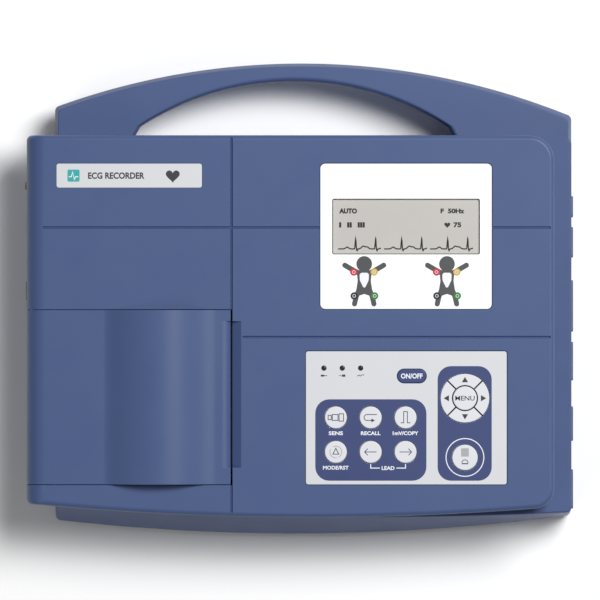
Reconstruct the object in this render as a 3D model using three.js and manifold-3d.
// Portable three-channel ECG recorder: a two-part ABS housing with a carry handle, a thermal
// chart printer under a hinged door, a display, a membrane-style keypad and sockets on both sides.
// Millimetres. +X to the operator's right, +Y to the handle, +Z up.
// Origin: centre of the footprint, at table level.
import * as THREE from "three";
import { mergeVertices } from "three/addons/utils/BufferGeometryUtils.js";
import Module from "manifold-3d";

const wasm = await Module();
wasm.setup();

// ---------------------------------------------------------------- driving dimensions

const overallWidth = 300;
const overallDepth = 258.2;
const footHeight = 3;
const baseHeight = 31; // lower housing, from its underside to the parting line
const upperHeight = 28; // upper housing, above the parting line
const wall = 2.4;
const seat = 0.3; // gap between two fixed pieces that touch
const cut = 1; // how far a cutting tool runs past the face it cuts

const sideProud = 1; // pads and switch stand this far out of the side walls
const overhang = 15; // upper housing past the base, on the left
const rightLedge = 10; // base past the upper housing, on the right
const frontLedge = 10; // base past the upper housing, at the front
const handleReach = 39.9; // crest of the handle behind the upper housing
const handleHeight = 24; // depth of the grip, below the parting line
const gripWidth = 9.9; // grip at its crest, seen from above
const overhangDrop = 2.5; // overhang's underside, below the parting line

const leftRoll = 10; // rounding along the upper housing's left edge
const edgeRoll = 2.5; // rounding along its other edges

// Levels
const baseBottom = footHeight;
const floorTop = baseBottom + 2.6;
const partingZ = baseBottom + baseHeight;
const topZ = partingZ + upperHeight;
const ceilingZ = topZ - wall;

// Side walls
const upperLeft = -overallWidth / 2 + sideProud;
const baseRight = overallWidth / 2 - sideProud;
const upperRight = baseRight - rightLedge;
const baseLeft = upperLeft + overhang;
const handleCrest = overallDepth / 2;
const upperRear = handleCrest - handleReach;
const baseRear = upperRear - 1.2;
const baseFront = -overallDepth / 2;
const upperFront = baseFront + frontLedge;

// Printer and door
const paperWidth = 80;
const rollRadius = 24;
const rollCoreRadius = 6;
const doorLengthSpare = 15.2; // door's length past the paper's width
const doorWidth = 112.1; // from the left wall to the free edge
const doorGap = 0.3;
const doorWall = 2.2;
const rollLift = 11.9; // underside of a full roll above the floor
const rollHeadroom = 2.3; // from a full roll to the door's bump
const rollToPlaten = 10; // from a full roll to the platen's axis
const slotGap = 0.7; // paper slot's share of the door, beside doorGap on the housing's side
const scoopHalfWidth = 5.5; // finger scoop along the paper slot
const scoopDepth = 3.8;
const platenRadius = 5.6;
const platenShaftRadius = 2;
const hingePinRadius = 1.5;
const knuckleRadius = 3.5;
const runningGap = 0.15;

const panelFrontMargin = 17.8; // door and keypad share one front line
const doorFront = upperFront + panelFrontMargin;
const doorRear = doorFront + paperWidth + doorLengthSpare;
const doorRight = upperLeft + doorWidth;
const hingeX = upperLeft + knuckleRadius;
const hingeZ = partingZ + 4.5;
const paperMiddle = (doorFront + doorRear) / 2 + 1.6;
const paperFront = paperMiddle - paperWidth / 2;
const paperRear = paperMiddle + paperWidth / 2;
const platenX = doorRight - 7.6;
const platenZ = topZ - 11;
const rollX = platenX - rollToPlaten - rollRadius;
const rollZ = floorTop + rollLift + rollRadius;
const bumpHeight = rollZ + rollRadius + rollHeadroom + doorWall - topZ; // above the door's flat

// Gear train
const gearModule = 0.7;
const platenTeeth = 14;
const idlerTeeth = 30;
const pinionTeeth = 12;
const gearThickness = 4;
const platenToIdler = THREE.MathUtils.degToRad(-50);
const idlerToPinion = THREE.MathUtils.degToRad(-60);

// Display, label and keypad
const displayWidth = 93.5;
const displayDepth = 79.3;
const displayRightMargin = 34.2;
const displayRearMargin = 15.5;
const screenWidth = 80.5;
const screenDepth = 30.3;
const screenLeftMargin = 6.5;
const screenRearMargin = 19.2;
const overlayThickness = 1.3;
const overlayProud = 0.2;
const labelWidth = 79.3;
const labelDepth = 13.1;
const labelLeftMargin = 16.5;
const labelThickness = 0.4;
const keypadWidth = 109.6;
const keypadDepth = 72.7;
const keypadRightMargin = 26;
const keyProud = 0.9;
const keyTravel = 0.6;
const keyGap = 0.3;
const keyPitchX = 19;
const keyPitchY = 18.8;
const roundKeyRadius = 6.05;
const ringRadius = 13.3;
const menuKeyRadius = 6.5;
const printKeyRadius = 7;
const powerKeyLength = 15.8;
const powerKeyWidth = 7.5;
const lampRadius = 1.3;
const lampPitch = 10;

const displayRight = upperRight - displayRightMargin;
const displayLeft = displayRight - displayWidth;
const displayRear = upperRear - displayRearMargin;
const displayFront = displayRear - displayDepth;
const screenLeft = displayLeft + screenLeftMargin;
const screenRear = displayRear - screenRearMargin;
const keypadRight = upperRight - keypadRightMargin;
const keypadLeft = keypadRight - keypadWidth;
const keypadFront = doorFront;
const keypadRear = keypadFront + keypadDepth;

// Sockets on the right wall: middle in Y from the rear wall, width of the raised pad
const padBottom = baseBottom + 7;
const padTop = partingZ - 5;
const socketPads = {
  usb: { y: upperRear - 38.7, width: 11.7 },
  network: { y: upperRear - 58.2, width: 16.9 },
  patient: { y: upperRear - 93.1, width: 28.4 },
  buzzer: { y: upperRear - 123.4, width: 21.3 },
  serial: { y: upperRear - 157.7, width: 18.9 },
  vent: { y: upperRear - 193.5, width: 21.6 },
};
const socketZ = (padBottom + padTop) / 2;

// Fittings on the left wall, measured from the door's rear edge
const switchMiddle = doorRear + 10.6;
const switchWidth = 10.4;
const switchHeight = 15;
const inletMiddle = doorRear + 41;
const inletWidth = 17.5;
const inletHeight = 14;
const inletDepth = 13;
const earthMiddle = doorRear + 67.7;
const earthRadius = 2.2;
const leftFittingZ = partingZ + 8.5;

// Underside
const footRadius = 8;
const footRecess = 1;
const screwHeadRadius = 3.2;
const screwShankRadius = 1.5;
const screwBossRadius = 4.5;
const batteryLength = 96;
const batteryWidth = 56;
const batteryHeight = 20;
const coverRim = 4;

// ---------------------------------------------------------------- materials

const paint = (color, roughness, metalness = 0) =>
  new THREE.MeshStandardMaterial({ color, roughness, metalness });

const housingBlue = paint(0x5b688c, 0.5);
const panelWhite = paint(0xf2f4f5, 0.4);
const overlayGrey = paint(0xdfe1e4, 0.45);
const keyWhite = paint(0xe9eaf5, 0.5);
const keyBlue = paint(0x48568c, 0.5);
const screenGrey = paint(0xcbc9c5, 0.25);
const blackPlastic = paint(0x1c1d20, 0.55);
const rubber = paint(0x26272a, 0.85);
const greyRubber = paint(0x5a5c60, 0.8);
const steel = paint(0xb4b7bb, 0.35, 1);
const brass = paint(0xc9a55a, 0.35, 1);
const paperWhite = paint(0xf7f4ee, 0.85);
const naturalPlastic = paint(0xd9d6cb, 0.5);
const boardGreen = paint(0x1f5b3a, 0.55);
const ceramic = paint(0xe4e0d5, 0.3);
const batteryWrap = paint(0x2c5d9c, 0.45);
const lampTint = paint(0x6d7072, 0.2);

// ---------------------------------------------------------------- solids

// A closed geometry as a manifold-3d solid.
function solid(geometry) {
  const bare = geometry.clone();
  bare.deleteAttribute("normal");
  bare.deleteAttribute("uv");
  const merged = mergeVertices(bare, 1e-4);
  const mesh = new wasm.Mesh({
    numProp: 3,
    vertProperties: new Float32Array(merged.attributes.position.array),
    triVerts: new Uint32Array(merged.index.array),
  });
  return new wasm.Manifold(mesh);
}

// A manifold-3d solid as a three.js geometry.
function geometryOf(shape) {
  const mesh = shape.getMesh();
  const geometry = new THREE.BufferGeometry();
  geometry.setAttribute("position", new THREE.BufferAttribute(mesh.vertProperties, 3));
  geometry.setIndex(new THREE.BufferAttribute(mesh.triVerts, 1));
  geometry.computeVertexNormals();
  return geometry;
}

const join = (...shapes) => shapes.reduce((whole, next) => whole.add(next));
const remove = (shape, ...tools) => tools.reduce((rest, tool) => rest.subtract(tool), shape);

function box(x, y, z) {
  const geometry = new THREE.BoxGeometry(x[1] - x[0], y[1] - y[0], z[1] - z[0]);
  geometry.translate((x[0] + x[1]) / 2, (y[0] + y[1]) / 2, (z[0] + z[1]) / 2);
  return solid(geometry);
}

// Turns a shape drawn in its own plane, and extruded along its normal, to run along a row axis:
// "x" draws in Y and Z, "y" draws in X and Z, "z" draws in X and Y.
function turnTo(axis, geometry) {
  if (axis === "x") {
    const basis = new THREE.Matrix4().makeBasis(
      new THREE.Vector3(0, 1, 0), new THREE.Vector3(0, 0, 1), new THREE.Vector3(1, 0, 0));
    geometry.applyMatrix4(basis);
  }
  if (axis === "y") {
    geometry.rotateX(Math.PI / 2);
  }
  return geometry;
}

function extrude(axis, shape, from, to, options = {}) {
  const settings = { depth: to - from, bevelEnabled: false, curveSegments: 10, ...options };
  const geometry = turnTo(axis, new THREE.ExtrudeGeometry(shape, settings));
  const shift = { x: [from, 0, 0], y: [0, to, 0], z: [0, 0, from] }[axis];
  geometry.translate(...shift);
  return solid(geometry);
}

const polygon = (points) => new THREE.Shape(points.map(([u, v]) => new THREE.Vector2(u, v)));

function disc(u, v, radius, segments = 24) {
  const points = [];
  for (let i = 0; i < segments; i += 1) {
    const angle = (2 * Math.PI * i) / segments;
    points.push([u + radius * Math.cos(angle), v + radius * Math.sin(angle)]);
  }
  return polygon(points);
}

// A cylinder along a row axis; u and v are its place in the plane across that axis.
const rod = (axis, u, v, radius, from, to, segments = 24) =>
  extrude(axis, disc(u, v, radius, segments), from, to);

// A rectangle with rounded corners, in its drawing plane.
function roundedRectangle(u, v, radius) {
  const corners = [[u[0], v[0]], [u[1], v[0]], [u[1], v[1]], [u[0], v[1]]];
  return polygon(filleted(corners.map(([a, b]) => ({ u: a, v: b, radius })), 4));
}

const roundedBlock = (axis, u, v, radius, from, to) =>
  extrude(axis, roundedRectangle(u, v, radius), from, to);

// Points of a closed outline whose corners have their own fillet radii.
function filleted(corners, segments) {
  const points = [];
  corners.forEach((corner, i) => {
    if (!corner.radius) {
      points.push([corner.u, corner.v]);
      return;
    }
    const before = corners[(i + corners.length - 1) % corners.length];
    const after = corners[(i + 1) % corners.length];
    const here = new THREE.Vector2(corner.u, corner.v);
    const back = new THREE.Vector2(before.u, before.v).sub(here).normalize();
    const ahead = new THREE.Vector2(after.u, after.v).sub(here).normalize();
    const halfAngle = Math.acos(THREE.MathUtils.clamp(back.dot(ahead), -1, 1)) / 2;
    const reach = corner.radius / Math.tan(halfAngle);
    const start = here.clone().addScaledVector(back, reach);
    const end = here.clone().addScaledVector(ahead, reach);
    const inward = back.clone().add(ahead).normalize();
    const centre = here.clone().addScaledVector(inward, corner.radius / Math.sin(halfAngle));
    const from = start.clone().sub(centre).angle();
    let sweep = end.clone().sub(centre).angle() - from;
    if (sweep > Math.PI) sweep -= 2 * Math.PI;
    if (sweep < -Math.PI) sweep += 2 * Math.PI;
    for (let k = 0; k <= segments; k += 1) {
      const angle = from + (sweep * k) / segments;
      points.push([
        centre.x + corner.radius * Math.cos(angle),
        centre.y + corner.radius * Math.sin(angle),
      ]);
    }
  });
  return points;
}

// The points between a and c on the circle through a, b and c.
function arcThrough(a, b, c, steps) {
  const d = 2 * (a[0] * (b[1] - c[1]) + b[0] * (c[1] - a[1]) + c[0] * (a[1] - b[1]));
  const square = (p) => p[0] * p[0] + p[1] * p[1];
  const u = (square(a) * (b[1] - c[1]) + square(b) * (c[1] - a[1]) + square(c) * (a[1] - b[1])) / d;
  const v = (square(a) * (c[0] - b[0]) + square(b) * (a[0] - c[0]) + square(c) * (b[0] - a[0])) / d;
  const angleOf = (p) => Math.atan2(p[1] - v, p[0] - u);
  const radius = Math.hypot(a[0] - u, a[1] - v);
  const from = angleOf(a);
  let sweep = angleOf(c) - from;
  if (sweep > Math.PI) sweep -= 2 * Math.PI;
  if (sweep < -Math.PI) sweep += 2 * Math.PI;
  const points = [];
  for (let i = 1; i < steps; i += 1) {
    const angle = from + (sweep * i) / steps;
    points.push([u + radius * Math.cos(angle), v + radius * Math.sin(angle)]);
  }
  return points;
}

// A closed body through a stack of level outlines that all have the same number of points.
function stack(levels) {
  const count = levels[0].points.length;
  const positions = levels.flatMap(({ z, points }) => points.flatMap(([x, y]) => [x, y, z]));
  const triangles = [];
  for (let level = 0; level + 1 < levels.length; level += 1) {
    for (let i = 0; i < count; i += 1) {
      const next = (i + 1) % count;
      const low = level * count;
      const high = low + count;
      triangles.push(low + i, low + next, high + next, low + i, high + next, high + i);
    }
  }
  const cap = (points, offset, flip) => {
    const contour = points.map(([x, y]) => new THREE.Vector2(x, y));
    THREE.ShapeUtils.triangulateShape(contour, []).forEach(([a, b, c]) => {
      const order = flip ? [a, c, b] : [a, b, c];
      triangles.push(...order.map((index) => index + offset));
    });
  };
  cap(levels[0].points, 0, true);
  cap(levels.at(-1).points, (levels.length - 1) * count, false);
  const geometry = new THREE.BufferGeometry();
  geometry.setAttribute("position", new THREE.Float32BufferAttribute(positions, 3));
  geometry.setIndex(triangles);
  return solid(geometry);
}

// ---------------------------------------------------------------- the scene graph

const machine = new THREE.Group();

function addPiece(name, shape, material) {
  const mesh = new THREE.Mesh(geometryOf(shape), material);
  mesh.name = name;
  machine.add(mesh);
}

// ---------------------------------------------------------------- housing outlines

const frontSteps = 10;

// Outline of one housing, drawn inwards by its insets. Its front edge bows towards the operator.
function housingOutline(sides, inset, leftInset = inset, frontShift = [0, 0, 0]) {
  const left = sides.left + leftInset;
  const right = sides.right - inset;
  const rear = sides.rear - inset;
  const front = sides.front + inset;
  const a = [left, front + sides.bowLeft + frontShift[0]];
  const middle = [sides.bowMiddle, front + frontShift[1]];
  const b = [right, front + sides.bowRight + frontShift[2]];
  const smallest = 0.4;
  const corner = ([u, v], radius) => ({ u, v, radius: Math.max(radius - inset, smallest) });
  return filleted([
    corner(a, sides.frontLeftRadius),
    ...arcThrough(a, middle, b, frontSteps).map(([u, v]) => ({ u, v })),
    corner(b, sides.frontRightRadius),
    corner([right, rear], sides.rearRightRadius),
    corner([left, rear], sides.rearLeftRadius),
  ], 4);
}

const baseSides = {
  left: baseLeft, right: baseRight, rear: baseRear, front: baseFront,
  bowLeft: 7.6, bowMiddle: 0, bowRight: 10.1,
  frontLeftRadius: 3, frontRightRadius: 3, rearRightRadius: 3, rearLeftRadius: 3,
};
const upperSides = {
  left: upperLeft, right: upperRight, rear: upperRear, front: upperFront,
  bowLeft: 7.2, bowMiddle: 20, bowRight: 5.6,
  frontLeftRadius: 3, frontRightRadius: 11, rearRightRadius: 13.7, rearLeftRadius: 3,
};

const screwPlaces = [
  ["case_screw_front_left", baseLeft + 13, upperFront + 11.6],
  ["case_screw_front_right", upperRight - 11, upperFront + 15],
  ["case_screw_rear_left", baseLeft + 13, upperRear - 29],
  ["case_screw_rear_right", upperRight - 11, upperRear - 11],
];
const footPlaces = [
  ["foot_front_left", baseLeft + 17, upperFront + 32],
  ["foot_front_right", baseRight - 17, upperFront + 33],
  ["foot_rear_left", baseLeft + 17, upperRear - 13],
  ["foot_rear_right", baseRight - 17, upperRear - 28],
];
const battery = { x: [keypadLeft + 16, keypadLeft + 16 + batteryLength],
  y: [keypadFront + 12, keypadFront + 12 + batteryWidth] };

// ---------------------------------------------------------------- lower housing

const slopeFoot = baseBottom + 9; // where the front slope meets the front wall
const slopeRun = [frontLedge, frontLedge + 0.3, 2]; // how far it goes back: left, middle, right

function handlePlan() {
  const shoulderLeft = [baseLeft, handleCrest - 24];
  const shoulderRight = [baseRight, handleCrest - 29];
  const root = baseRear - 6;
  return polygon(filleted([
    { u: baseLeft, v: root },
    { u: baseRight, v: root },
    { u: shoulderRight[0], v: shoulderRight[1], radius: 3 },
    ...arcThrough(shoulderRight, [0, handleCrest], shoulderLeft, 20).map(([u, v]) => ({ u, v })),
    { u: shoulderLeft[0], v: shoulderLeft[1], radius: 3 },
  ], 3));
}

// Outline of the finger opening, grown outwards all round.
function fingerOpening(grow) {
  const left = [baseLeft + 46.8 - grow, handleCrest - 34.4];
  const right = [baseRight - 67 + grow, handleCrest - 34.8];
  const crest = [0, handleCrest - gripWidth + grow];
  const rear = upperRear - 0.4;
  return filleted([
    { u: left[0] - 3.5, v: rear },
    { u: right[0] + 2.8, v: rear },
    { u: right[0], v: right[1], radius: 3 },
    ...arcThrough(right, crest, left, 16).map(([u, v]) => ({ u, v })),
    { u: left[0], v: left[1], radius: 3 },
  ], 3);
}

function handle() {
  const bevelRun = 2.2;
  const bevelDrop = 6;
  const bottom = partingZ - handleHeight;
  const bar = extrude("z", handlePlan(), bottom + bevelDrop, partingZ - bevelDrop, {
    bevelEnabled: true, bevelThickness: bevelDrop, bevelSize: bevelRun, bevelOffset: -bevelRun,
    bevelSegments: 1,
  });
  const roundRise = 3.2;
  const roundRun = 2.6;
  const gap = stack([
    { z: bottom - cut, points: fingerOpening(roundRun) },
    { z: bottom, points: fingerOpening(roundRun) },
    { z: bottom + roundRise / 3, points: fingerOpening(roundRun / 3) },
    { z: bottom + roundRise, points: fingerOpening(0) },
    { z: partingZ - roundRise, points: fingerOpening(0) },
    { z: partingZ - roundRise / 3, points: fingerOpening(roundRun / 3) },
    { z: partingZ, points: fingerOpening(roundRun) },
    { z: partingZ + cut, points: fingerOpening(roundRun) },
  ]);
  return remove(bar, gap);
}

function socketCut(pad, width, height) {
  return box([baseRight - 12, baseRight + sideProud + cut],
    [pad.y - width / 2, pad.y + width / 2], [socketZ - height / 2, socketZ + height / 2]);
}

// Upright slots through a pad, for sound or for air.
function slots(pad, count) {
  const slotWidth = 1.6;
  const pitch = pad.width / (count + 0.5);
  const tools = [];
  for (let i = 0; i < count; i += 1) {
    const y = pad.y + (i - (count - 1) / 2) * pitch;
    tools.push(box([baseRight - wall - cut, baseRight + sideProud + cut],
      [y - slotWidth / 2, y + slotWidth / 2], [padBottom + 3, padTop - 3]));
  }
  return tools;
}

const cableSockets = {
  patient: { width: 25.3, height: 9.4, depth: 11 },
  serial: { width: 16.9, height: 9.4, depth: 11 },
  network: { width: 15.6, height: 13.4, depth: 11 },
  usb: { width: 10.6, height: 10.6, depth: 11 },
};

function lowerHousing() {
  const outer = stack([
    { z: baseBottom, points: housingOutline(baseSides, 1.5) },
    { z: baseBottom + 1.5, points: housingOutline(baseSides, 0) },
    { z: slopeFoot, points: housingOutline(baseSides, 0) },
    { z: partingZ - 1.2, points: housingOutline(baseSides, 0, 0, slopeRun.map((run) => run * 0.95)) },
    { z: partingZ, points: housingOutline(baseSides, 1, 1, slopeRun) },
  ]);
  const cavityTop = partingZ - wall;
  const cavity = stack([
    { z: floorTop, points: housingOutline(baseSides, wall) },
    { z: slopeFoot, points: housingOutline(baseSides, wall) },
    { z: cavityTop, points: housingOutline(baseSides, wall, wall, slopeRun.map((run) => run * 0.93)) },
  ]);
  const mouthSides = { ...upperSides, left: baseLeft, rear: baseRear };
  const mouth = stack([
    { z: cavityTop - cut, points: housingOutline(mouthSides, 4, wall) },
    { z: partingZ + cut, points: housingOutline(mouthSides, 4, wall) },
  ]);
  let shell = remove(outer, cavity, mouth).add(remove(handle(), cavity));

  Object.values(socketPads).forEach((pad) => {
    shell = shell.add(roundedBlock("x", [pad.y - pad.width / 2, pad.y + pad.width / 2],
      [padBottom, padTop], 1.5, baseRight - wall / 2, baseRight + sideProud));
  });
  Object.entries(cableSockets).forEach(([name, size]) => {
    shell = shell.subtract(socketCut(socketPads[name], size.width + 2 * seat, size.height + 2 * seat));
  });
  shell = remove(shell, ...slots(socketPads.buzzer, 6), ...slots(socketPads.vent, 7));

  screwPlaces.forEach(([, x, y]) => {
    const boss = rod("z", x, y, screwBossRadius, floorTop - cut, partingZ - seat);
    const bore = rod("z", x, y, screwShankRadius + 0.4, baseBottom - cut, partingZ + cut, 16);
    const headSeat = rod("z", x, y, screwHeadRadius + 0.4, baseBottom - cut, baseBottom + 3.2);
    shell = remove(shell.add(boss), bore, headSeat);
  });
  footPlaces.forEach(([, x, y]) => {
    shell = shell.subtract(
      rod("z", x, y, footRadius + seat, baseBottom - cut, baseBottom + footRecess));
  });
  const rim = coverRim;
  const coverSeat = roundedBlock("z", [battery.x[0] - rim, battery.x[1] + rim],
    [battery.y[0] - rim, battery.y[1] + rim], 3, baseBottom - cut, baseBottom + 1.8);
  const batteryHole = box([battery.x[0] - seat, battery.x[1] + seat],
    [battery.y[0] - seat, battery.y[1] + seat], [baseBottom, floorTop + cut]);
  return remove(shell, coverSeat, batteryHole);
}

addPiece("lower_housing", lowerHousing(), housingBlue);

// ---------------------------------------------------------------- upper housing

// Level outlines of the upper housing's rounded top, for its outside (inset 0) or its inside.
function roundedLevels(inset, top) {
  const heights = [leftRoll, 6, edgeRoll, 1.2, 0.4, 0];
  return heights.map((below) => {
    const rise = (radius) => Math.max(0, radius - below);
    const pull = (radius) => radius - Math.sqrt(radius * radius - rise(radius) ** 2);
    const points = housingOutline(upperSides, inset + pull(edgeRoll), inset + pull(leftRoll));
    return { z: top - below, points };
  });
}

const slotMiddle = doorRight + (doorGap - slotGap) / 2; // paper comes out along this line

// The scoop rolls down to the slot on the door's side and rises in a plane on the other.
function scoop() {
  const steps = 6;
  const points = [[slotMiddle + scoopHalfWidth, topZ + cut], [slotMiddle - scoopHalfWidth, topZ + cut]];
  for (let i = 0; i <= steps; i += 1) {
    const turn = (i / steps) * (Math.PI / 2);
    points.push([slotMiddle - scoopHalfWidth * (1 - Math.sin(turn)),
      topZ - scoopDepth * (1 - Math.cos(turn))]);
  }
  points.push([slotMiddle + scoopHalfWidth, topZ]);
  return extrude("y", polygon(points), paperFront, paperRear);
}

// Key table: places are measured on the keypad panel from its left and rear edges.
const gridLeft = keypadLeft + 16.4;
const gridRear = keypadRear - 36.1;
const ringX = keypadLeft + 86.8;
const ringY = keypadRear - 25.6;
const roundKeys = [
  { name: "key_sensitivity", x: gridLeft, y: gridRear, radius: roundKeyRadius },
  { name: "key_recall", x: gridLeft + keyPitchX, y: gridRear, radius: roundKeyRadius },
  { name: "key_calibrate", x: gridLeft + 2 * keyPitchX, y: gridRear, radius: roundKeyRadius },
  { name: "key_mode", x: gridLeft, y: gridRear - keyPitchY, radius: roundKeyRadius },
  { name: "key_lead_left", x: gridLeft + keyPitchX, y: gridRear - keyPitchY, radius: roundKeyRadius },
  { name: "key_lead_right", x: gridLeft + 2 * keyPitchX, y: gridRear - keyPitchY, radius: roundKeyRadius },
  { name: "key_print", x: ringX, y: keypadRear - 57.9, radius: printKeyRadius },
];
const powerKey = { x: keypadLeft + 57.8, y: keypadRear - 13.5 };
const ringKeys = ["key_right", "key_up", "key_left", "key_down"];
const lamps = ["lamp_mains", "lamp_battery", "lamp_charging"].map((name, i) => (
  { name, x: keypadLeft + 9.9 + i * lampPitch, y: keypadRear - 9.2 }));

const powerKeyOutline = (grow) => roundedRectangle(
  [powerKey.x - powerKeyLength / 2 - grow, powerKey.x + powerKeyLength / 2 + grow],
  [powerKey.y - powerKeyWidth / 2 - grow, powerKey.y + powerKeyWidth / 2 + grow],
  powerKeyWidth / 2 + grow - 0.01);

// Holes that let the keys and lamps through, from one level to another.
function keyHoles(from, to, gap, segments) {
  const tools = roundKeys.map((key) => rod("z", key.x, key.y, key.radius + gap, from, to, segments));
  tools.push(rod("z", ringX, ringY, ringRadius + gap, from, to, segments));
  tools.push(extrude("z", powerKeyOutline(gap), from, to));
  lamps.forEach((lamp) => tools.push(rod("z", lamp.x, lamp.y, lampRadius + runningGap, from, to, 12)));
  return tools;
}

function grooves() {
  const width = 1.5;
  const depth = 0.8;
  const z = [topZ - depth, topZ + cut];
  const across = (y, from, to) => box([from, to], [y - width / 2, y + width / 2], z);
  const rearLine = displayFront + 44.4;
  const frontLine = displayFront - 15.3;
  const along = (from, to) => box([slotMiddle - width / 2, slotMiddle + width / 2], [from, to], z);
  return [
    along(doorRear, upperRear - 1),
    along(upperFront + 2.5, doorFront),
    across(rearLine, upperLeft + 9, displayLeft),
    across(rearLine, displayRight, upperRight - 2),
    across(frontLine, slotMiddle + 6, upperRight - 2),
  ];
}

function upperHousing() {
  const lip = 0.8; // shadow line along the joint with the base
  const outer = stack([
    { z: partingZ + seat, points: housingOutline(upperSides, lip, 0) },
    { z: partingZ + seat + 1, points: housingOutline(upperSides, lip, 0) },
    { z: partingZ + seat + 1, points: housingOutline(upperSides, 0) },
    ...roundedLevels(0, topZ),
  ]);
  const inner = stack([
    { z: partingZ - cut, points: housingOutline(upperSides, wall + lip, wall) },
    ...roundedLevels(wall, ceilingZ + 0.001),
  ]);
  const leftOf = (x) => box([upperLeft - cut, x], [upperFront - cut, upperRear + cut], [0, topZ]);
  const overhangBottom = partingZ - overhangDrop;
  const overhangOuter = stack([
    { z: overhangBottom, points: housingOutline(upperSides, 0.8) },
    { z: overhangBottom + 0.8, points: housingOutline(upperSides, 0) },
    { z: partingZ + 3, points: housingOutline(upperSides, 0) },
  ]).intersect(leftOf(baseLeft - seat));
  const overhangInner = stack([
    { z: overhangBottom + 2, points: housingOutline(upperSides, wall) },
    { z: partingZ + 4, points: housingOutline(upperSides, wall) },
  ]).intersect(leftOf(baseLeft - seat - 1.6));
  let shell = remove(outer.add(overhangOuter), inner, overhangInner);

  // screw bosses hang from the ceiling
  screwPlaces.forEach(([, x, y]) => {
    const boss = rod("z", x, y, screwBossRadius, partingZ + seat, ceilingZ + 0.5);
    const bore = rod("z", x, y, screwShankRadius + 0.3, partingZ, partingZ + 9, 16);
    shell = remove(shell.add(boss), bore);
  });

  // door opening, with hinge bosses at its left end and a thick lip along the paper slot
  const bossEnds = [[doorFront - 3.6, doorFront + 0.001], [doorRear - 0.001, doorRear + 3.6]];
  bossEnds.forEach((span) => {
    shell = shell.add(box([upperLeft + 0.8, hingeX + knuckleRadius], span,
      [overhangBottom + 1, hingeZ + knuckleRadius]));
  });
  shell = shell.add(box([slotMiddle, slotMiddle + 8.5], [doorFront - 2, doorRear + 2],
    [topZ - 6.4, topZ - 1]));
  shell = remove(shell,
    box([upperLeft - cut, doorRight + doorGap], [doorFront - doorGap, doorRear + doorGap],
      [overhangBottom + 2.1, topZ + cut]),
    rod("y", hingeX, hingeZ, hingePinRadius + runningGap, doorFront - 3.2, doorRear + 3.2, 20),
    scoop());

  // label, display and keypad sit in shallow pockets
  const pocketFloor = topZ + overlayProud - overlayThickness - seat;
  shell = remove(shell,
    roundedBlock("z", labelSpan().x.map((x, i) => x + (i ? seat : -seat)),
      labelSpan().y.map((y, i) => y + (i ? seat : -seat)), 1.6,
      topZ + overlayProud - labelThickness - seat, topZ + cut),
    roundedBlock("z", [displayLeft - seat, displayRight + seat],
      [displayFront - seat, displayRear + seat], 3, pocketFloor, topZ + cut),
    box([screenLeft, screenLeft + screenWidth], [screenRear - screenDepth, screenRear],
      [ceilingZ - 3, topZ + cut]),
    roundedBlock("z", [keypadLeft - seat, keypadRight + seat],
      [keypadFront - seat, keypadRear + seat], 1.7, pocketFloor, topZ + cut),
    ...keyHoles(ceilingZ - 3, topZ + cut, keyGap + 0.2, 16),
    ...grooves());

  // left wall: mains inlet, power switch and earth terminal
  return remove(shell,
    box([upperLeft - cut, upperLeft + wall + cut],
      [inletMiddle - inletWidth / 2 - seat, inletMiddle + inletWidth / 2 + seat],
      [leftFittingZ - inletHeight / 2 - seat, leftFittingZ + inletHeight / 2 + seat]),
    box([upperLeft - cut, upperLeft + wall + cut],
      [switchMiddle - switchWidth / 2 - seat, switchMiddle + switchWidth / 2 + seat],
      [leftFittingZ - switchHeight / 2 - seat, leftFittingZ + switchHeight / 2 + seat]),
    rod("x", earthMiddle, leftFittingZ, earthRadius + seat, upperLeft - cut, upperLeft + wall + cut, 20));
}

function labelSpan() {
  const left = upperLeft + labelLeftMargin;
  return { x: [left, left + labelWidth], y: [displayRear - labelDepth, displayRear] };
}

addPiece("upper_housing", upperHousing(), housingBlue);

addPiece("name_label", roundedBlock("z", labelSpan().x, labelSpan().y, 1.3,
  topZ + overlayProud - labelThickness, topZ + overlayProud), overlayGrey);

// ---------------------------------------------------------------- paper door

// The door's outside, from its free edge over the bump and down the left wall.
function doorSkin(depth) {
  const top = topZ - depth;
  const path = new THREE.Path();
  const crestX = rollX - 1;
  path.moveTo(doorRight - slotGap, top);
  path.lineTo(doorRight - 8.6, top);
  const crest = top + bumpHeight;
  path.bezierCurveTo(doorRight - 19, top + 0.6, doorRight - 25, crest, crestX + 3, crest);
  path.bezierCurveTo(crestX - 0.54 * rollRadius, crest, crestX - 0.8 * rollRadius, top + bumpHeight / 2,
    crestX - 0.96 * rollRadius, top);
  path.lineTo(upperLeft + leftRoll, top);
  path.absarc(upperLeft + leftRoll, topZ - leftRoll, leftRoll - depth, Math.PI / 2, Math.PI, false);
  path.lineTo(upperLeft + depth, hingeZ);
  return path.getPoints(9).map((p) => [p.x, p.y]);
}

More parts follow.
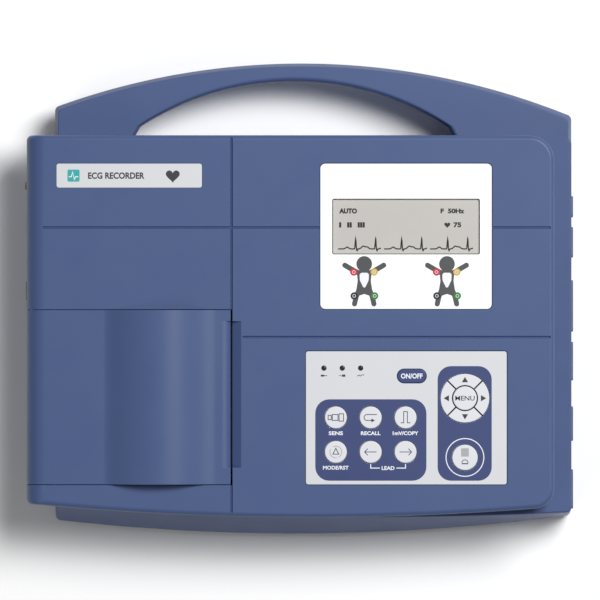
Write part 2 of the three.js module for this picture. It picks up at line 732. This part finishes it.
function paperDoor() {
  const y = [doorFront, doorRear];
  const skin = extrude("y", polygon([...doorSkin(0), ...doorSkin(doorWall).reverse()]), ...y);
  const knuckle = rod("y", hingeX, hingeZ, knuckleRadius, ...y, 24);
  const pinHole = rod("y", hingeX, hingeZ, hingePinRadius + runningGap, y[0] - cut, y[1] + cut, 20);
  const freeEdge = box([doorRight - 8.4, doorRight - slotGap], y, [topZ - 4.8, topZ - 1]);

  // crescent walls close both ends of the bump
  const endWall = 2;
  const under = [[upperLeft + leftRoll, topZ - 5], [doorRight - 9, topZ - 5]];
  const overBump = ([x]) => x < doorRight - 8 && x > upperLeft + leftRoll;
  const crescent = polygon([...doorSkin(0.4).filter(overBump), ...under]);
  const ends = [
    extrude("y", crescent, y[0], y[0] + endWall),
    extrude("y", crescent, y[1] - endWall, y[1]),
  ];

  // two arms carry the platen's shaft
  const armSpan = { x: [platenX - 5, platenX + 4.8], z: [platenZ - 4.5, topZ - 3] };
  const arms = [platenArmFront, platenArmRear].map((span) => box(armSpan.x, span, armSpan.z));
  const shaftHole = rod("y", platenX, platenZ, platenShaftRadius + runningGap,
    y[0] + endWall, y[1] - endWall, 20);
  const pivotEnd = join(skin, knuckle, freeEdge, ...ends, ...arms);
  return remove(pivotEnd, pinHole, shaftHole, scoop());
}

const armThickness = 1.8;
const platenArmRear = [paperRear + 0.6, paperRear + 0.6 + armThickness];
const platenArmFront = [paperFront - 0.6 - armThickness, paperFront - 0.6];
const gearPlane = [platenArmFront[0] - 0.4 - gearThickness, platenArmFront[0] - 0.4];

addPiece("paper_door", paperDoor(), housingBlue);
addPiece("door_hinge_pin",
  rod("y", hingeX, hingeZ, hingePinRadius, doorFront - 3, doorRear + 3, 20), steel);

// ---------------------------------------------------------------- printer

const pitchRadius = (teeth) => (gearModule * teeth) / 2;

// Outline of a spur gear with straight-sided teeth; one tooth points at the angle phase.
function gearOutline(u, v, teeth, phase) {
  const pitch = (2 * Math.PI) / teeth;
  const root = pitchRadius(teeth) - 1.15 * gearModule;
  const tip = pitchRadius(teeth) + 0.85 * gearModule;
  const rootHalf = 0.29 * pitch;
  const tipHalf = 0.12 * pitch;
  const points = [];
  const put = (radius, angle) => points.push([u + radius * Math.cos(angle), v + radius * Math.sin(angle)]);
  for (let i = 0; i < teeth; i += 1) {
    const middle = phase + i * pitch;
    put(root, middle - rootHalf);
    put(tip, middle - tipHalf);
    put(tip, middle + tipHalf);
    put(root, middle + rootHalf);
  }
  return polygon(points);
}

// Phase of a gear whose gap meets the tooth of its neighbour; direction runs from neighbour to gear.
function matingPhase(direction, neighbourTeeth, neighbourPhase, teeth) {
  const neighbourPitch = (2 * Math.PI) / neighbourTeeth;
  const steps = Math.round((direction - neighbourPhase) / neighbourPitch);
  const ahead = neighbourPhase + steps * neighbourPitch - direction;
  return direction + Math.PI - (ahead * neighbourTeeth) / teeth + Math.PI / teeth;
}

const away = (from, direction, distance) => (
  { x: from.x + distance * Math.cos(direction), z: from.z + distance * Math.sin(direction) });
const platen = { x: platenX, z: platenZ };
const idler = away(platen, platenToIdler, pitchRadius(platenTeeth) + pitchRadius(idlerTeeth));
const motor = away(idler, idlerToPinion, pitchRadius(idlerTeeth) + pitchRadius(pinionTeeth));
const platenPhase = platenToIdler;
const idlerPhase = matingPhase(platenToIdler, platenTeeth, platenPhase, idlerTeeth);
const pinionPhase = matingPhase(idlerToPinion, idlerTeeth, idlerPhase, pinionTeeth);

function gear(place, teeth, phase, boreRadius) {
  const blank = extrude("y", gearOutline(place.x, place.z, teeth, phase), ...gearPlane);
  const bore = rod("y", place.x, place.z, boreRadius, gearPlane[0] - cut, gearPlane[1] + cut, 20);
  return blank.subtract(bore);
}

const idlerShaftRadius = 1.5;
const motorShaftRadius = 1;
const motorRadius = 11;
const motorLength = 18;

addPiece("platen_shaft", rod("y", platenX, platenZ, platenShaftRadius,
  gearPlane[0] - 0.3, platenArmRear[1] + 0.3, 20), steel);
addPiece("platen_roller", remove(
  rod("y", platenX, platenZ, platenRadius, paperFront, paperRear, 32),
  rod("y", platenX, platenZ, platenShaftRadius + 0.05, paperFront - cut, paperRear + cut, 20)), rubber);
addPiece("platen_gear", gear(platen, platenTeeth, platenPhase, platenShaftRadius + 0.05), naturalPlastic);
addPiece("idler_gear", gear(idler, idlerTeeth, idlerPhase, idlerShaftRadius + 0.1), naturalPlastic);

// The chassis is a steel U: two side plates and the wall that the head's springs push on.
const chassisPlate = 1.6;
const chassisFront = [platenArmFront[0] + 0.1, platenArmFront[0] + 0.1 + chassisPlate];
const chassisRear = [platenArmRear[1] - chassisPlate, platenArmRear[1]];
const chassisLeft = platenX + 5.4;
const springWall = chassisLeft + 14;

function printerChassis() {
  const sideZ = [floorTop + seat, topZ - 7];
  const sides = [chassisFront, chassisRear].map(
    (span) => box([chassisLeft, springWall + chassisPlate], span, sideZ));
  const back = box([springWall, springWall + chassisPlate],
    [chassisFront[0], chassisRear[1]], [platenZ - 9, topZ - 7]);
  const foot = box([springWall - 4, springWall + chassisPlate], [chassisFront[0], chassisRear[1]],
    [floorTop + seat, floorTop + seat + chassisPlate]);
  const idlerBore = rod("y", idler.x, idler.z, idlerShaftRadius + 0.05, chassisFront[0] - cut,
    chassisFront[1] + cut, 16);
  const motorBore = rod("y", motor.x, motor.z, motorShaftRadius + 1, chassisFront[0] - cut,
    chassisFront[1] + cut, 16);
  return remove(join(...sides, back, foot), idlerBore, motorBore);
}

addPiece("printer_chassis", printerChassis(), steel);
addPiece("idler_shaft", rod("y", idler.x, idler.z, idlerShaftRadius, gearPlane[0] - 0.4,
  chassisFront[1] + 2, 16), steel);
addPiece("motor_pinion", join(
  extrude("y", gearOutline(motor.x, motor.z, pinionTeeth, pinionPhase), ...gearPlane),
  rod("y", motor.x, motor.z, motorShaftRadius, gearPlane[1] - cut, chassisFront[1] + 4, 16)), brass);
addPiece("stepper_motor", remove(
  rod("y", motor.x, motor.z, motorRadius, chassisFront[1] + seat, chassisFront[1] + seat + motorLength, 28),
  rod("y", motor.x, motor.z, motorShaftRadius + runningGap, chassisFront[1] - cut, chassisFront[1] + 5, 16)),
  steel);

// The thermal head: a glazed ceramic strip on an aluminium block, pressed against the platen.
const headFace = platenX + platenRadius + 0.3;
const headThickness = 5.4;
addPiece("print_head", join(
  box([headFace, headFace + 1.2], [paperFront, paperRear], [platenZ - 6, platenZ + 4]),
  box([headFace + 1.1, headFace + headThickness], [chassisFront[1] + 0.3, chassisRear[0] - 0.3],
    [platenZ - 8, platenZ + 3])), ceramic);

const headSpringRadius = 2.4;
const springWire = 0.5;
function headSpring(y) {
  const start = headFace + headThickness + seat;
  const end = springWall - seat;
  const turns = 4;
  class Coil extends THREE.Curve {
    getPoint(t, target = new THREE.Vector3()) {
      const angle = 2 * Math.PI * turns * t;
      const x = start + springWire + (end - start - 2 * springWire) * t;
      return target.set(x, y + headSpringRadius * Math.cos(angle),
        platenZ + headSpringRadius * Math.sin(angle));
    }
  }
  return solid(new THREE.ExtrudeGeometry(disc(0, 0, springWire, 5),
    { extrudePath: new Coil(), steps: turns * 9, bevelEnabled: false }));
}
addPiece("head_spring_front", headSpring(paperFront + 12), steel);
addPiece("head_spring_rear", headSpring(paperRear - 12), steel);

// ---------------------------------------------------------------- paper

const spindleRadius = rollCoreRadius - 0.4;
const journalRadius = 3;
const trayClearance = 2;
const trayWall = 1.5;
const trayEnds = [doorFront + 2.4, doorRear - 1.6];
const trayTop = topZ - 5.3;

// The paper tray: a trough round the roll, with a shelf out to the hinge and slots for the spindle.
function paperTray() {
  const innerRadius = rollRadius + trayClearance;
  const outerRadius = innerRadius + trayWall;
  const block = join(
    rod("y", rollX, rollZ, outerRadius, ...trayEnds, 40),
    box([rollX - outerRadius, rollX + outerRadius], trayEnds, [rollZ, trayTop + 0.001]));
  const hollow = join(
    rod("y", rollX, rollZ, innerRadius, trayEnds[0] + trayWall, trayEnds[1] - trayWall, 40),
    box([rollX - innerRadius, rollX + innerRadius], [trayEnds[0] + trayWall, trayEnds[1] - trayWall],
      [rollZ, topZ + cut]));
  const overTop = box([rollX - outerRadius - cut, rollX + outerRadius + cut],
    [trayEnds[0] - cut, trayEnds[1] + cut], [trayTop, topZ + 20]);
  const slotRadius = journalRadius + 0.3;
  const slotSpan = [trayEnds[0] - cut, trayEnds[1] + cut];
  const journalSlots = join(
    rod("y", rollX, rollZ, slotRadius, ...slotSpan, 20),
    box([rollX - slotRadius, rollX + slotRadius], slotSpan, [rollZ, topZ + cut]));
  const shelf = box([hingeX + knuckleRadius + 1.5, rollX - innerRadius - 0.5], trayEnds,
    [trayTop - trayWall, trayTop]);
  const ribs = [trayEnds[0] + 20, trayEnds[1] - 20].map((y) => box([rollX - 14, rollX + 14],
    [y - 1, y + 1], [floorTop + seat, rollZ - innerRadius * 0.86]));
  const tray = remove(join(block, ...ribs), hollow, overTop, journalSlots).add(shelf);
  return tray;
}

addPiece("paper_tray", paperTray(), blackPlastic);
addPiece("paper_roll", remove(
  rod("y", rollX, rollZ, rollRadius, paperFront, paperRear, 40),
  rod("y", rollX, rollZ, rollCoreRadius, paperFront - cut, paperRear + cut, 24)), paperWhite);
addPiece("paper_spindle", join(
  rod("y", rollX, rollZ, spindleRadius, trayEnds[0] + trayWall + 0.6, trayEnds[1] - trayWall - 0.6, 24),
  rod("y", rollX, rollZ, journalRadius, trayEnds[0] + 0.3, trayEnds[1] - 0.3, 20)), naturalPlastic);

// ---------------------------------------------------------------- display

const overlaySpan = [topZ + overlayProud - overlayThickness, topZ + overlayProud];

addPiece("display_bezel", remove(
  roundedBlock("z", [displayLeft, displayRight], [displayFront, displayRear], 2.7, ...overlaySpan),
  roundedBlock("z", [screenLeft, screenLeft + screenWidth], [screenRear - screenDepth, screenRear], 1,
    overlaySpan[0] - cut, overlaySpan[1] + cut)), panelWhite);

const moduleRim = 3;
addPiece("lcd_module", join(
  box([screenLeft + 0.4, screenLeft + screenWidth - 0.4],
    [screenRear - screenDepth + 0.4, screenRear - 0.4], [ceilingZ - 2, topZ - 1.6]),
  box([screenLeft - moduleRim, screenLeft + screenWidth + moduleRim],
    [screenRear - screenDepth - moduleRim, screenRear + moduleRim], [ceilingZ - 7, ceilingZ - seat])),
  screenGrey);

// ---------------------------------------------------------------- keypad

const keySides = 24;

addPiece("keypad_panel", remove(
  roundedBlock("z", [keypadLeft, keypadRight], [keypadFront, keypadRear], 1.4, ...overlaySpan),
  ...keyHoles(overlaySpan[0] - cut, overlaySpan[1] + cut, keyGap, keySides)), overlayGrey);

const keyTop = topZ + keyProud;
const flangeTop = ceilingZ - seat;
const flangeThickness = 1.5;
const keyBottom = flangeTop - flangeThickness;
const flangeWidth = 1;

roundKeys.forEach((key) => {
  const cap = rod("z", key.x, key.y, key.radius, keyBottom, keyTop, keySides);
  const flange = rod("z", key.x, key.y, key.radius + flangeWidth, keyBottom, flangeTop, keySides);
  addPiece(key.name, cap.add(flange), keyWhite);
});

addPiece("key_power", join(
  extrude("z", powerKeyOutline(0), keyBottom, keyTop),
  extrude("z", powerKeyOutline(flangeWidth), keyBottom, flangeTop)), keyBlue);

addPiece("key_menu", rod("z", ringX, ringY, menuKeyRadius, keyBottom, keyTop, keySides), keyWhite);

// A quarter of the ring round the menu key, with half a gap taken off each of its ends.
function ringSegment(quarter, outerRadius) {
  const innerRadius = menuKeyRadius + 0.6;
  const halfGap = 0.35;
  const middle = (quarter * Math.PI) / 2;
  const edge = (radius, side) => middle + side * (Math.PI / 4 - halfGap / radius);
  const points = [];
  const steps = 6;
  [[outerRadius, -1], [innerRadius, 1]].forEach(([radius, first]) => {
    for (let i = 0; i <= steps; i += 1) {
      const t = i / steps;
      const angle = edge(radius, first) * (1 - t) + edge(radius, -first) * t;
      points.push([ringX + radius * Math.cos(angle), ringY + radius * Math.sin(angle)]);
    }
  });
  return polygon(points);
}

ringKeys.forEach((name, quarter) => {
  addPiece(name, join(
    extrude("z", ringSegment(quarter, ringRadius), keyBottom, keyTop - 0.2),
    extrude("z", ringSegment(quarter, ringRadius + flangeWidth), keyBottom, flangeTop)), keyWhite);
});

lamps.forEach((lamp) => {
  addPiece(lamp.name, rod("z", lamp.x, lamp.y, lampRadius, keyBottom, topZ + overlayProud + 0.1, 12), lampTint);
});

const matTop = keyBottom - keyTravel - 0.2;
const matSpan = { x: [keypadLeft + 3, keypadRight - 3], y: [keypadFront + 3, keypadRear - 3] };
addPiece("key_mat", box(matSpan.x, matSpan.y, [matTop - 1, matTop]), greyRubber);
addPiece("keypad_board", box(matSpan.x, matSpan.y, [matTop - 1 - seat - 1.6, matTop - 1 - seat]), boardGreen);

// ---------------------------------------------------------------- electronics

const mainBoardZ = partingZ - 3;
const mainBoardX = [springWall + 8, upperRight - 6];
const mainBoardY = [upperFront + 22, baseRear - wall - 16];
addPiece("main_board", remove(join(
  box(mainBoardX, mainBoardY, [mainBoardZ, mainBoardZ + 1.6]),
  box([mainBoardX[0] + 30, mainBoardX[0] + 52], [mainBoardY[0] + 90, mainBoardY[0] + 112],
    [mainBoardZ + 1.5, mainBoardZ + 4]),
  box([mainBoardX[0] + 66, mainBoardX[0] + 80], [mainBoardY[0] + 92, mainBoardY[0] + 112],
    [mainBoardZ + 1.5, mainBoardZ + 3.4])),
  ...screwPlaces.map(([, x, y]) => rod("z", x, y, screwBossRadius + 0.6, partingZ - 6, partingZ + 6))),
  boardGreen);

const powerBoardX = [baseLeft + 24, rollX + 36];
const powerBoardY = [doorRear + 8, doorRear + 74];
const powerBoardZ = floorTop + 4;
addPiece("power_board", join(
  box(powerBoardX, powerBoardY, [powerBoardZ, powerBoardZ + 1.6]),
  box([powerBoardX[0] + 8, powerBoardX[0] + 38], [powerBoardY[0] + 28, powerBoardY[0] + 58],
    [powerBoardZ + 1.5, powerBoardZ + 22]),
  rod("z", powerBoardX[0] + 50, powerBoardY[0] + 44, 7, powerBoardZ + 1.5, powerBoardZ + 20),
  rod("z", powerBoardX[0] + 50, powerBoardY[0] + 22, 5, powerBoardZ + 1.5, powerBoardZ + 16)), boardGreen);

addPiece("battery_pack", roundedBlock("x", battery.y, [floorTop - 0.6, floorTop - 0.6 + batteryHeight],
  4, ...battery.x), batteryWrap);
addPiece("battery_cover", roundedBlock("z",
  [battery.x[0] - coverRim + seat, battery.x[1] + coverRim - seat],
  [battery.y[0] - coverRim + seat, battery.y[1] + coverRim - seat], 2.7,
  baseBottom + 0.1, baseBottom + 1.5), housingBlue);

// Sockets reach in through the right wall; each is a block with the hollow that its plug enters.
Object.entries(cableSockets).forEach(([name, size]) => {
  const pad = socketPads[name];
  const hollowRim = name === "network" ? 1.9 : 1;
  const half = { y: size.width / 2, z: size.height / 2 };
  const block = box([baseRight - size.depth, baseRight + sideProud - 0.2],
    [pad.y - half.y, pad.y + half.y], [socketZ - half.z, socketZ + half.z]);
  const hollow = box([baseRight - size.depth + 2.4, baseRight + sideProud + cut],
    [pad.y - half.y + hollowRim, pad.y + half.y - hollowRim],
    [socketZ - half.z + hollowRim, socketZ + half.z - hollowRim]);
  addPiece(`${name}_socket`, block.subtract(hollow), name === "network" ? blackPlastic : steel);
});

addPiece("buzzer", rod("x", socketPads.buzzer.y, socketZ, 8, baseRight - wall - 8, baseRight - wall - 1),
  blackPlastic);

const inletBack = upperLeft + 0.8 + inletDepth;
addPiece("mains_inlet", remove(
  box([upperLeft + 0.8, inletBack],
    [inletMiddle - inletWidth / 2, inletMiddle + inletWidth / 2],
    [leftFittingZ - inletHeight / 2, leftFittingZ + inletHeight / 2]),
  roundedBlock("x", [inletMiddle - inletWidth / 2 + 1.6, inletMiddle + inletWidth / 2 - 1.6],
    [leftFittingZ - inletHeight / 2 + 1.6, leftFittingZ + inletHeight / 2 - 1.6], 2.5,
    upperLeft - cut, inletBack - 2)), blackPlastic);

addPiece("earth_terminal",
  rod("x", earthMiddle, leftFittingZ, earthRadius, upperLeft - sideProud, upperLeft + 14, 16), brass);

// The rocker is drawn with its upper end pressed in, and turns about its middle.
const rockerTilt = 7;
const rockerPivotX = upperLeft + 3;
function powerSwitch() {
  const half = switchHeight / 2 - 0.4;
  const width = [switchMiddle - switchWidth / 2 + 0.2, switchMiddle + switchWidth / 2 - 0.2];
  const profile = polygon(
    [[-2.2, 0], [-3, half], [4.5, half - 1.2], [4.5, -half + 1.2], [-3, -half]]);
  const geometry = turnTo("y", new THREE.ExtrudeGeometry(profile,
    { depth: width[1] - width[0], bevelEnabled: false }));
  geometry.rotateY(THREE.MathUtils.degToRad(rockerTilt));
  geometry.translate(rockerPivotX, width[1], leftFittingZ);
  return solid(geometry);
}
addPiece("power_switch", powerSwitch(), blackPlastic);

// ---------------------------------------------------------------- feet and screws

footPlaces.forEach(([name, x, y]) => {
  addPiece(name, rod("z", x, y, footRadius, 0, baseBottom + footRecess - seat, 28), rubber);
});

screwPlaces.forEach(([name, x, y]) => {
  const headBottom = baseBottom + 0.9;
  addPiece(name, join(
    rod("z", x, y, screwHeadRadius, headBottom, headBottom + 2),
    rod("z", x, y, screwShankRadius, headBottom + 1.5, partingZ + 8, 16)), steel);
});

export default machine;
